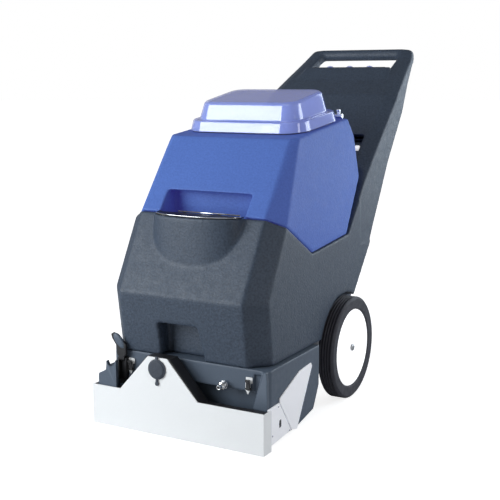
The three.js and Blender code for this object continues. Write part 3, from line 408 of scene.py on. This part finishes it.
# A copy of a CAD node's mesh with its corners shared and its flat faces whole.
def copied(name, node, whole_faces=True):
    work = bmesh.new()
    work.from_mesh(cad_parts[node].data)
    bmesh.ops.remove_doubles(work, verts=work.verts, dist=MERGE)
    if whole_faces:
        bmesh.ops.dissolve_limit(
            work, angle_limit=math.radians(1.2), verts=work.verts, edges=work.edges
        )
    return from_bmesh(name, work)


def bevelled(piece, width, steps=3, angle=28):
    for face in piece.data.polygons:
        face.use_smooth = True
    bevel = piece.modifiers.new("bevel", "BEVEL")
    bevel.width = width
    bevel.segments = steps
    bevel.limit_method = "ANGLE"
    bevel.angle_limit = math.radians(angle)
    bevel.use_clamp_overlap = True
    level = piece.modifiers.new("level", "WEIGHTED_NORMAL")
    level.keep_sharp = False
    return applied(piece)


# A CAD node's own shape with small rounded edges.
def refined(name, node, width, steps=3, angle=28):
    return bevelled(copied(name, node), width, steps, angle)


# A CAD node's shape as one soft skin: every edge rounds off as a moulding does.
def softened(name, node, grid, passes, keep=1.0):
    piece = copied(name, node, whole_faces=False)
    skin = piece.modifiers.new("skin", "REMESH")
    skin.mode = "VOXEL"
    skin.voxel_size = grid
    melt = piece.modifiers.new("melt", "SMOOTH")
    melt.factor = 0.5
    melt.iterations = passes
    if keep < 1:
        thin = piece.modifiers.new("thin", "DECIMATE")
        thin.ratio = keep
    return applied(piece)


# Rounds each inner corner of a line of points with a small curve.
def eased(points, radius, steps=5, closed=False):
    line = [Vector(p) for p in points]
    count = len(line)
    result = []
    for i, corner in enumerate(line):
        if not closed and i in (0, count - 1):
            result.append(corner)
            continue
        before, after = line[i - 1] - corner, line[(i + 1) % count] - corner
        reach = min(radius, before.length * 0.49, after.length * 0.49)
        start = corner + before.normalized() * reach
        end = corner + after.normalized() * reach
        for k in range(steps + 1):
            t = k / steps
            result.append(start * (1 - t) ** 2 + corner * 2 * t * (1 - t) + end * t * t)
    return result


# Joins rings of points, each with as many points, into one skin.
def skin_rings(work, rings, closed=True, wrap=False):
    made = [[work.verts.new(p) for p in ring] for ring in rings]
    pairs = list(zip(made, made[1:]))
    if wrap:
        pairs.append((made[-1], made[0]))
    for low, high in pairs:
        count = len(low)
        for i in range(count if closed else count - 1):
            j = (i + 1) % count
            work.faces.new((low[i], low[j], high[j], high[i]))
    return made


ON_AXIS = 0.000005  # the radius of a ring that stands for a point on the axis
AXES = {
    "x": (Vector((0, 1, 0)), Vector((0, 0, 1)), Vector((1, 0, 0))),
    "y": (Vector((0, 0, 1)), Vector((1, 0, 0)), Vector((0, 1, 0))),
    "z": (Vector((1, 0, 0)), Vector((0, 1, 0)), Vector((0, 0, 1))),
}


# Turns a profile of (radius, height) points round an axis through a centre.
# A profile that starts and ends on the axis is closed; any other one joins up with itself.
def turned(work, profile, axis, centre, sides):
    across, upward, along = AXES[axis]
    rings = []
    for radius, height, _ in profile:
        ring = []
        for angle in turns(sides):
            out = across * math.cos(angle) + upward * math.sin(angle)
            ring.append(centre + out * max(radius, ON_AXIS) + along * height)
        rings.append(ring)
    on_axis = profile[0][0] <= 0 and profile[-1][0] <= 0
    made = skin_rings(work, rings, wrap=not on_axis)
    if on_axis:
        work.faces.new(made[0])
        work.faces.new(made[-1])


# A flat outline of points carried a little way along a direction, closed at both ends.
def prism(work, outline, along):
    low = [work.verts.new(p) for p in outline]
    high = [work.verts.new(p + along) for p in outline]
    count = len(low)
    for i in range(count):
        j = (i + 1) % count
        work.faces.new((low[i], low[j], high[j], high[i]))
    work.faces.new(low)
    work.faces.new(high)


def middle(node):
    low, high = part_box(node)
    return (low + high) / 2


# ------------------------------------------------------------------ mouldings
def make_body():
    piece = softened("body_shell", "main_body", 3 * MM, 14, keep=0.5)
    fit(piece, "machine", "black_body", "main_body")
    for word, side in SIDES.items():
        make_heel(word, side)


# The body's lower edge ends in a short upright step above each wheel.
def make_heel(word, side):
    low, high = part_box("tyre_right")
    outside = side * (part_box("main_body")[1].x - 18 * MM)
    back = (low.y + high.y) / 2 + 87 * MM
    under = high.z - 18 * MM
    width = 33 * MM
    # distance behind the step's upright face, and height over its underside
    outline = [(-32, 20), (0, 19), (0, 3), (-3, 0), (-32, 0)]
    points = [Vector((outside, back + along * MM, under + up * MM)) for along, up in outline]
    work = bmesh.new()
    prism(work, eased(points, 2 * MM, 4, closed=True), Vector((-side * width, 0, 0)))
    heel = bevelled(from_bmesh(f"body_heel_{word}", work), 2.5 * MM, 3, 50)
    fit(heel, "machine", "black_body")


def make_tank():
    piece = softened("tank_shell", "recovery_tank", 2.8 * MM, 14, keep=0.6)
    fit(piece, "recovery_tank_set", "blue_tank", "recovery_tank")


def make_chassis():
    piece = softened("chassis_casting", "chassis", 1.9 * MM, 5, keep=0.5)
    fit(piece, "machine", "slate_plastic", "chassis")
    make_horn()


# The post at the chassis' front right corner: it leans in at the bottom and has a bevelled
# outer edge.
def make_horn():
    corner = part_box("chassis")[1]
    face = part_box("shoe_duct")[1].y + 0.9 * MM
    depth = 9 * MM
    # distance from the chassis' right side, and below its top
    front = [(35.5, 85.5), (9, 0.5), (3.5, 0.5), (1, 20), (0.3, 86)]
    outline = [
        Vector((corner.x - left * MM, face, corner.z - down * MM)) for left, down in front
    ]
    work = bmesh.new()
    prism(work, eased(outline, 3 * MM, 4, closed=True), Vector((0, depth, 0)))
    post = bevelled(from_bmesh("corner_post", work), 2.4 * MM, 4, 50)
    fit(post, "machine", "slate_plastic")


# ------------------------------------------------------------------ the clear lid
TANK_SLOPE = 0.12  # rise of the tank's top towards the back
LID_TURN = Matrix.Rotation(math.atan(TANK_SLOPE), 4, "X")
LID_WALL = 3 * MM


# The box of a node in the tilted frame of the tank's sloping top.
def tilted_box(node):
    level = LID_TURN.inverted()
    points = [level @ v.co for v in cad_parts[node].data.vertices]
    low = Vector([min(p[k] for p in points) for k in range(3)])
    high = Vector([max(p[k] for p in points) for k in range(3)])
    return low, high


def rounded_ring(half, front, back, corner, height, steps=14):
    ring = []
    centres = [(1, 1, 0), (-1, 1, 90), (-1, -1, 180), (1, -1, 270)]
    for side, end, start in centres:
        across = side * (half - corner)
        along = back - corner if end > 0 else front + corner
        for k in range(steps + 1):
            angle = math.radians(start + 90 * k / steps)
            ring.append(Vector((
                across + corner * math.cos(angle),
                along + corner * math.sin(angle),
                height,
            )))
    return ring


# One station of the lid: its insets, its corner radius, its height and its backward slope.
def lid_ring(low, high, inset, front_extra, back_extra, corner, height, slope):
    half = (high.x - low.x) / 2 - inset
    ring = rounded_ring(
        half, low.y + inset + front_extra, high.y - inset - back_extra, corner, low.z + height
    )
    for point in ring:
        point.z += slope * (point.y - low.y - 45 * MM)
    return ring


def make_lid():
    low, high = tilted_box("recovery_lid")
    crest = high.z - low.z - 10 * MM
    ledge = 24 * MM
    # inset, further inset in front and behind, corner radius, height, slope towards the back
    side = [
        (0.2 * MM, 0, 0, 58 * MM, 0, 0),
        (6.2 * MM, 4 * MM, 0, 52 * MM, ledge, 0),
        (21.2 * MM, 1 * MM, -1 * MM, 42 * MM, ledge + 0.4 * MM, 0),
        (31.2 * MM, 7 * MM, -1 * MM, 34 * MM, crest - 4 * MM, 0.05),
        (38 * MM, 8 * MM, -1 * MM, 30 * MM, crest, 0.059),
        (90 * MM, 10 * MM, -1 * MM, 20 * MM, crest, 0.059),
    ]
    inside = [
        (s[0] + LID_WALL, s[1], s[2], s[3] - LID_WALL, s[4] - LID_WALL, s[5]) for s in side
    ]
    inside[0] = (*inside[0][:4], 0, 0)
    work = bmesh.new()
    outer_skin = skin_rings(work, [lid_ring(low, high, *s) for s in lid_stations(side)])
    inner_skin = skin_rings(work, [lid_ring(low, high, *s) for s in lid_stations(inside)])
    work.faces.new(outer_skin[-1])
    work.faces.new(inner_skin[-1])
    outer_rim, inner_rim = outer_skin[0], inner_skin[0]
    for i in range(len(outer_rim)):
        j = (i + 1) % len(outer_rim)
        work.faces.new((outer_rim[i], outer_rim[j], inner_rim[j], inner_rim[i]))
    bmesh.ops.transform(work, matrix=LID_TURN, verts=work.verts)
    piece = from_bmesh("clear_dome", work)
    fit(piece, "lid_set", "clear_lid", "recovery_lid")


# Rounds the lid's stations into each other, and keeps the walls between them flat with a
# station close to each end.
def lid_stations(side, steps=6):
    sharp = [Vector(s) for s in side]
    rounded = [sharp[0]]
    for before, corner, after in zip(sharp, sharp[1:], sharp[2:]):
        size = 2.6 * MM
        start = corner + (before - corner) * min(0.45, size / profile_length(before, corner))
        end = corner + (after - corner) * min(0.45, size / profile_length(after, corner))
        for k in range(steps + 1):
            t = k / steps
            rounded.append(start * (1 - t) ** 2 + corner * 2 * t * (1 - t) + end * t * t)
    rounded.append(sharp[-1])
    result = [tuple(rounded[0])]
    for first, second in zip(rounded, rounded[1:]):
        length = profile_length(first, second)
        if length > 5 * MM:
            share = 1.0 * MM / length
            result.append(tuple(first.lerp(second, share)))
            result.append(tuple(first.lerp(second, 1 - share)))
        result.append(tuple(second))
    return result


def profile_length(first, second):
    return math.hypot(first[0] - second[0], first[4] - second[4])


# ------------------------------------------------------------------ wheels
def make_wheels():
    for word, side in SIDES.items():
        low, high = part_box(f"tyre_{word}")
        radius = (high.z - low.z) / 2
        width = high.x - low.x
        inner = low.x if side > 0 else high.x
        centre = Vector((inner, (low.y + high.y) / 2, (low.z + high.z) / 2))
        rim = radius - 31 * MM
        profile = [
            (rim, 3 * MM), (rim + 3 * MM, 1 * MM), (rim + 12 * MM, 1 * MM), (radius - 6 * MM, 0),
            (radius, 5 * MM), *tread_grooves(radius, width), (radius, width - 5 * MM),
            (radius - 6 * MM, width), (rim + 12 * MM, width - 1 * MM),
            (rim + 3 * MM, width - 1 * MM), (rim, width - 3 * MM),
        ]
        round_profile = eased([(r, h * side, 0) for r, h in profile], 1.6 * MM, 3, closed=True)
        work = bmesh.new()
        turned(work, round_profile, "x", centre, 144)
        tyre = from_bmesh(f"tyre_tread_{word}", work)
        fit(tyre, f"wheel_{word}", "tyre_rubber", f"tyre_{word}")
        make_disc(word, side, centre, rim, width)
        make_axle_cap(word, side)


# Grooves that run round a tyre, as (radius, distance across the tread) points.
def tread_grooves(radius, width, grooves=4):
    shoulder = 7 * MM
    depth = 2.2 * MM
    pitch = (width - 2 * shoulder) / grooves
    points = []
    for k in range(grooves):
        at = shoulder + pitch * (k + 0.5)
        points += [
            (radius, at - 2.2 * MM),
            (radius - depth, at - 1.2 * MM),
            (radius - depth, at + 1.2 * MM),
            (radius, at + 2.2 * MM),
        ]
    return points


def make_disc(word, side, centre, rim, width):
    bore = 8.2 * MM
    face = width - 3 * MM
    profile = [
        (bore, 4 * MM), (30 * MM, 4 * MM), (36 * MM, 12 * MM), (82 * MM, 12 * MM),
        (88 * MM, 3 * MM), (rim - 0.4 * MM, 3 * MM), (rim - 0.4 * MM, face),
        (90 * MM, face), (86 * MM, face - 1.4 * MM), (36 * MM, face - 1.4 * MM),
        (30 * MM, face - 0.6 * MM), (15 * MM, face - 0.6 * MM), (bore, face - 2 * MM),
    ]
    round_profile = eased([(r, h * side, 0) for r, h in profile], 2.5 * MM, 4, closed=True)
    work = bmesh.new()
    turned(work, round_profile, "x", centre, 128)
    disc = from_bmesh(f"wheel_face_{word}", work)
    fit(disc, f"wheel_{word}", "white_plastic", f"wheel_disc_{word}")


def make_axle_cap(word, side):
    low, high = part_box(f"axle_cap_{word}")
    outer = high.x if side > 0 else low.x
    length = high.x - low.x
    radius = (high.z - low.z) / 2 * 0.8
    centre = Vector((outer, (low.y + high.y) / 2, (low.z + high.z) / 2))
    profile = [
        (0, -length * side), (radius * 0.82, -length * side), (radius, -length * 0.86 * side),
        (radius, -length * 0.55 * side), (radius * 0.72, -length * 0.12 * side), (0, 0),
    ]
    work = bmesh.new()
    turned(work, eased([(r, h, 0) for r, h in profile], 1.2 * MM, 5), "x", centre, 40)
    cap = from_bmesh(f"hub_cap_{word}", work)
    fit(cap, f"wheel_{word}", "steel", f"axle_cap_{word}")


# ------------------------------------------------------------------ shoe, plate and cap
# The slate quadrant with its notches stands on the duct's left end.
def make_shoe():
    plate = refined("plate_sheet", "front_plate", 0.9 * MM, 3)
    fit(plate, "shoe", "white_plate", "front_plate")
    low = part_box("shoe_duct")[0]
    shoulder = low.z + 88 * MM
    quadrant_right = low.x + 63 * MM
    work = bmesh.new()
    work.from_mesh(copied("duct_copy", "shoe_duct").data)
    bpy.data.objects.remove(bpy.data.objects["duct_copy"])
    extra = [
        v for v in work.verts if v.co.x < quadrant_right and v.co.z > shoulder + 0.3 * MM
    ]
    bmesh.ops.delete(work, geom=extra, context="VERTS")
    open_edges = [edge for edge in work.edges if edge.is_boundary]
    bmesh.ops.holes_fill(work, edges=open_edges)
    duct = bevelled(from_bmesh("duct_moulding", work), 1.6 * MM)
    fit(duct, "shoe", "black_plastic", "shoe_duct")
    # distance from the duct's left end, and height above its shoulder
    notches = [
        (9, 1), (10, 32), (31, 43), (32.5, 66), (37, 55), (45, 52), (53, 58), (59, 70), (60, 1),
    ]
    outline = [
        Vector((low.x + across * MM, low.y + 2 * MM, shoulder + rise * MM))
        for across, rise in notches
    ]
    thickness = 9 * MM
    work = bmesh.new()
    prism(work, eased(outline, 3 * MM, 4, closed=True), Vector((0, thickness, 0)))
    quadrant = bevelled(from_bmesh("notched_quadrant", work), 1.0 * MM, 3, 50)
    fit(quadrant, "shoe", "slate_plastic")


# The rubber bung over the cleanout: a stepped disc with a pull tab and a retaining stem.
def make_cleanout_cap():
    low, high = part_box("cleanout_cap")
    radius = (high.x - low.x) / 2
    tab_drop = 37.7 * MM  # from the disc's centre to the bottom of the tab
    stem_rise = 29.3 * MM  # and to the top of the stem
    centre = Vector(((low.x + high.x) / 2, low.y, low.z + tab_drop))
    depth = high.y - low.y
    lip = 5.9 * MM
    bung = 13.2 * MM
    profile = [
        (0, 0), (radius - 8 * MM, 0.1 * MM), (radius - 4 * MM, 0.8 * MM),
        (radius - 3 * MM, 3.0 * MM), (radius - 0.4 * MM, 3.2 * MM), (radius, 4.2 * MM),
        (radius, lip), (bung, lip), (bung, depth), (0, depth),
    ]
    work = bmesh.new()
    turned(work, eased([(r, h, 0) for r, h in profile], 1.0 * MM, 4), "y", centre, 72)
    front = low.y + 2.6 * MM
    thickness = Vector((0, 3.2 * MM, 0))
    tab = centre.z - tab_drop + 5 * MM
    neck_half = 2.6 * MM
    neck_low = tab + 6 * MM
    neck_high = centre.z - radius + 2 * MM
    outline = [
        Vector((centre.x + 4.6 * MM * math.cos(a), front, tab + 5 * MM * math.sin(a)))
        for a in turns(14, math.pi, math.pi * 14 / 13)
    ]
    outline += [
        Vector((centre.x + neck_half, front, neck_low)),
        Vector((centre.x + neck_half, front, neck_high)),
        Vector((centre.x - neck_half, front, neck_high)),
        Vector((centre.x - neck_half, front, neck_low)),
    ]
    prism(work, outline, thickness)
    stem_half = 3 * MM
    top = centre.z + stem_rise
    start = centre.z + radius - 5 * MM
    stem = [
        Vector((centre.x + s * stem_half, front, z))
        for s, z in ((-1, start), (1, start), (1, top), (-1, top))
    ]
    prism(work, stem, thickness)
    piece = from_bmesh("cleanout_bung", work)
    bevelled(piece, 0.5 * MM, 2, 50)
    fit(piece, "cap", "soft_rubber", "cleanout_cap")


# ------------------------------------------------------------------ side plates
# A small domed screw head standing on a face that looks along X.
def screw_head(work, place, side, radius):
    profile = [
        (0, 0), (radius * 0.5, -0.05 * MM), (radius * 0.9, -0.55 * MM), (radius, -1.0 * MM),
        (radius, -1.5 * MM), (0, -1.5 * MM),
    ]
    points = eased([(r, h * side, 0) for r, h in profile], radius * 0.2, 3)
    turned(work, points, "x", place, 24)


def make_side_plates():
    for word, side in SIDES.items():
        for part in ("deck_plate", "side_panel"):
            piece = refined(f"{part}_sheet_{word}", f"{part}_{word}", 0.8 * MM, 3)
            fit(piece, "machine", "grey_plate", f"{part}_{word}")
        low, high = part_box(f"deck_plate_{word}")
        face = (high.x if side > 0 else low.x) + 1.0 * MM * side
        # how far each screw is behind the plate's front edge, and its height
        places = [(11, 60), (19, 27), (46, 86), (100, 15)]
        work = bmesh.new()
        for back, height in places:
            spot = Vector((face, low.y + back * MM, height * MM))
            screw_head(work, spot, side, 2.4 * MM)
        piece = from_bmesh(f"plate_screws_{word}", work)
        fit(piece, "machine", "steel")
        make_plate_slot(word, side, low, face)


# The dark plug in the slot of a deck plate.
def make_plate_slot(word, side, low, face):
    outline = [
        Vector((face - 2.4 * MM * side, low.y + back * MM, height * MM))
        for back, height in ((50.5, 36), (59.5, 37), (59.5, 54), (50.5, 53))
    ]
    work = bmesh.new()
    prism(work, eased(outline, 2 * MM, 3, closed=True), Vector((1.7 * MM * side, 0, 0)))
    plug = from_bmesh(f"plate_slot_{word}", work)
    fit(plug, "machine", "black_plastic")


# ------------------------------------------------------------------ front fittings
# A latch: a white strike with a pointed catch hanging from it, and a black handle over it.
def make_latches():
    for word in SIDES:
        low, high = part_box(f"latch_plate_{word}")
        work = bmesh.new()
        # distance from the strike's left edge, and below its top edge
        strike = [(0, 0), (16, 0), (16, 13), (0, 13)]
        catch = [(-0.5, 11), (11, 11), (11, 28), (5.5, 39), (-0.5, 28)]
        for outline, out in ((strike, 0.0), (catch, 1.2)):
            flat = [
                Vector((low.x + right * MM, high.y - (2.2 + out) * MM, high.z - down * MM))
                for right, down in outline
            ]
            prism(work, eased(flat, 1.6 * MM, 3, closed=True), Vector((0, 2 * MM, 0)))
        plate = bevelled(from_bmesh(f"latch_strike_{word}", work), 0.4 * MM, 2, 50)
        fit(plate, "machine", "white_plate", f"latch_plate_{word}")
        arm = refined(f"latch_arm_{word}", f"latch_lever_{word}", 0.6 * MM, 2)
        fit(arm, f"latch_{word}", "black_plastic", f"latch_lever_{word}")


# The quick coupling: a round body, a knurled sliding sleeve and a hollow nose.
def make_coupling():
    low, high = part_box("quick_coupling")
    centre = Vector(((low.x + high.x) / 2, low.y, (low.z + high.z) / 2))
    length = high.y - low.y
    profile = [
        (3.2 * MM, 12 * MM), (3.2 * MM, 0.4 * MM), (4.9 * MM, 0), (5.0 * MM, 9 * MM),
        (6.6 * MM, 9.6 * MM), (6.6 * MM, 11.6 * MM), (8.9 * MM, 12.4 * MM), (8.9 * MM, 14.4 * MM),
        (8.0 * MM, 15 * MM), (8.0 * MM, 16.4 * MM), (8.9 * MM, 17 * MM), (8.9 * MM, 19 * MM),
        (7 * MM, 19.6 * MM), (7 * MM, 22.2 * MM), (9.6 * MM, 22.4 * MM), (9.6 * MM, length),
        (2 * MM, length), (2 * MM, 12 * MM),
    ]
    work = bmesh.new()
    turned(work, eased([(r, h, 0) for r, h in profile], 0.5 * MM, 3, closed=True), "y", centre, 60)
    piece = from_bmesh("coupling_body", work)
    fit(piece, "machine", "chrome_trim", "quick_coupling")


# The height lever in its yoke, with a flat oval knob that leans outwards.
def make_lever():
    bracket = refined("lever_yoke", "lever_bracket", 0.8 * MM, 2)
    fit(bracket, "machine", "black_plastic", "lever_bracket")
    handle = softened("lever_handle", "height_lever", 0.9 * MM, 8)
    fit(handle, "lever", "black_plastic", "height_lever")
    low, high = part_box("height_lever")
    centre = Vector((high.x - 20 * MM, low.y + 2.5 * MM, high.z - 18 * MM))
    lean = math.radians(40)
    # half of its length, width and thickness
    half_length, half_width, half_thickness = 21 * MM, 9.5 * MM, 5 * MM
    work = bmesh.new()
    bmesh.ops.create_uvsphere(work, u_segments=36, v_segments=20, radius=1)
    for corner in work.verts:
        unit = corner.co
        along = half_length * math.copysign(abs(unit.z) ** 0.85, unit.z)
        across = half_width * unit.x
        thick = half_thickness * math.copysign(abs(unit.y) ** 0.6, unit.y)
        corner.co = centre + Vector((
            across * math.cos(lean) - along * math.sin(lean),
            thick,
            across * math.sin(lean) + along * math.cos(lean),
        ))
    knob = from_bmesh("lever_knob", work)
    fit(knob, "lever", "slate_plastic")


# ------------------------------------------------------------------ filler
# The front half of the filler's oval, fuller than an ellipse, from one end to the other.
def filler_oval(half, reach, back, height, steps=56):
    fullness = 2.5  # 2 would be an ellipse
    power = 2 / fullness
    ring = []
    for k in range(steps + 1):
        angle = math.pi * k / steps
        across = math.copysign(abs(math.cos(angle)) ** power, -math.cos(angle))
        depth = max(math.sin(angle), 0) ** power
        ring.append(Vector((half * across, back - reach * depth, height)))
    return ring


# The filler's flap: a shallow crowned D with a rolled rim.
def make_fill_lid():
    low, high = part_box("fill_lid")
    half = (high.x - low.x) / 2
    back = middle("fill_lid_pin").y - 4 * MM
    reach = back - low.y
    # share of the outline, height over the flap's underside in mm
    crown = [
        (0.5, 1.9), (0.86, 1.5), (0.93, 1.5), (0.955, 2.9), (0.985, 2.9), (1.0, 1.6), (0.99, 0.1),
    ]
    rings = [
        filler_oval(half * share, reach * share, back, low.z + height * MM)
        for share, height in crown
    ]
    work = bmesh.new()
    made = skin_rings(work, rings, closed=False)
    work.faces.new(made[0])
    work.faces.new([work.verts.new(p) for p in rings[-1]])
    piece = from_bmesh("filler_flap", work)
    fit(piece, "fill_lid_leaf", "black_plastic", "fill_lid")


# Painted highlight: bright chrome wires round the flap's rim and along its straight back edge
# stand in for the highlight lines on the glossy rim.
def make_filler_highlight_wires():
    low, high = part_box("fill_lid")
    half = (high.x - low.x) / 2 - 1.5 * MM
    back = middle("fill_lid_pin").y - 4 * MM
    height = low.z + 2.8 * MM
    route = filler_oval(half, back - low.y - 1.5 * MM, back, height)
    # painted highlight along the rim and the back edge
    piece = wire("filler_rim_highlight_wire", route, 0.9 * MM)
    fit(piece, "fill_lid_leaf", "chrome_trim")
    ends = (-0.55, 0.92)
    straight = [Vector((half * share, back + 1 * MM, height + 1.6 * MM)) for share in ends]
    bar = wire("filler_back_highlight_wire", straight, 1.6 * MM)
    fit(bar, "fill_lid_leaf", "chrome_trim")


# A round wire along a line of points, as a closed mesh.
def wire(name, route, radius, sides=12):
    work = bmesh.new()
    rings = []
    count = len(route)
    for i, point in enumerate(route):
        ahead = route[min(i + 1, count - 1)] - route[max(i - 1, 0)]
        ahead.normalize()
        out = ahead.cross(UP).normalized()
        lift = out.cross(ahead).normalized()
        rings.append([
            point + (out * math.cos(a) + lift * math.sin(a)) * radius for a in turns(sides)
        ])
    made = skin_rings(work, rings)
    work.faces.new(made[0])
    work.faces.new(made[-1])
    return from_bmesh(name, work)


# ------------------------------------------------------------------ console
def make_console():
    plate = refined("console_plate", "control_plate", 0.8 * MM, 3)
    fit(plate, "machine", "black_plastic", "control_plate")
    for k in (1, 2, 3):
        rocker = refined(f"rocker_key_{k}", f"rocker_{k}", 0.9 * MM, 3)
        fit(rocker, f"rocker_{k}_paddle", "black_plastic", f"rocker_{k}")
        boot = softened(f"boot_dome_{k}", f"switch_boot_{k}", 0.6 * MM, 6)
        fit(boot, "machine", "clear_lid", f"switch_boot_{k}")
    meter = refined("hour_meter_face", "hour_meter", 0.8 * MM, 3)
    fit(meter, "machine", "black_plastic", "hour_meter")
    button = refined("breaker_cap", "breaker_button", 1.2 * MM, 4)
    fit(button, "breaker", "soft_rubber", "breaker_button")


def make_back():
    door = refined("rear_panel", "rear_door", 1.2 * MM, 3)
    fit(door, "machine", "black_body", "rear_door")
    gland = refined("gland_nut", "cord_inlet_gland", 0.8 * MM, 3)
    fit(gland, "machine", "black_plastic", "cord_inlet_gland")


def make_small_parts():
    for word in SIDES:
        clip = refined(f"spring_clip_{word}", f"lid_clip_{word}", 0.7 * MM, 3)
        fit(clip, f"lid_clip_{word}_arm", "chrome_trim", f"lid_clip_{word}")
    low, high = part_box("tank_stop_knob")
    centre = Vector((high.x, (low.y + high.y) / 2, (low.z + high.z) / 2))
    radius = (high.z - low.z) / 2
    length = high.x - low.x
    profile = [
        (0, -length), (radius * 0.8, -length), (radius, -length * 0.75), (radius, 0), (0, 0),
    ]
    work = bmesh.new()
    turned(work, eased([(r, h, 0) for r, h in profile], 2.5 * MM, 5), "x", centre, 40)
    knob = from_bmesh("stop_knob", work)
    fit(knob, "machine", "white_plastic", "tank_stop_knob")


# ------------------------------------------------------------------ nodes kept from the CAD
KEPT = {
    "soft_rubber": ["lid_gasket", "drive_belt", "suction_hose"],
    "black_plastic": [
        "vacuum_riser", "inlet_riser", "float_cage", "brush_core", "brush_pulley",
        "exhaust_muffler",
    ],
    "white_plastic": ["float_ball", "fill_strainer"],
    "steel": [
        "fill_lid_pin", "axle", "brush_bearing_left", "brush_bearing_right", "motor_pulley",
    ],
    "motor_case": ["brush_motor", "vacuum_motor", "solution_pump"],
    "brass_fitting": ["spray_bar"],
    "bristle_nylon": ["brush_bristles"],
}


def dress_kept_nodes():
    for slot, names in KEPT.items():
        for name in names:
            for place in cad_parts[name].material_slots:
                place.link = "OBJECT"
                place.material = LOOKS[slot]


bpy.context.scene.view_settings.view_transform = "Standard"
make_camera()
make_world()
make_lights()
make_floor()
make_looks()
make_body()
make_tank()
make_chassis()
make_lid()
make_wheels()
make_shoe()
make_cleanout_cap()
make_side_plates()
make_latches()
make_coupling()
make_lever()
make_fill_lid()
make_filler_highlight_wires()
make_console()
make_back()
make_small_parts()
dress_kept_nodes()
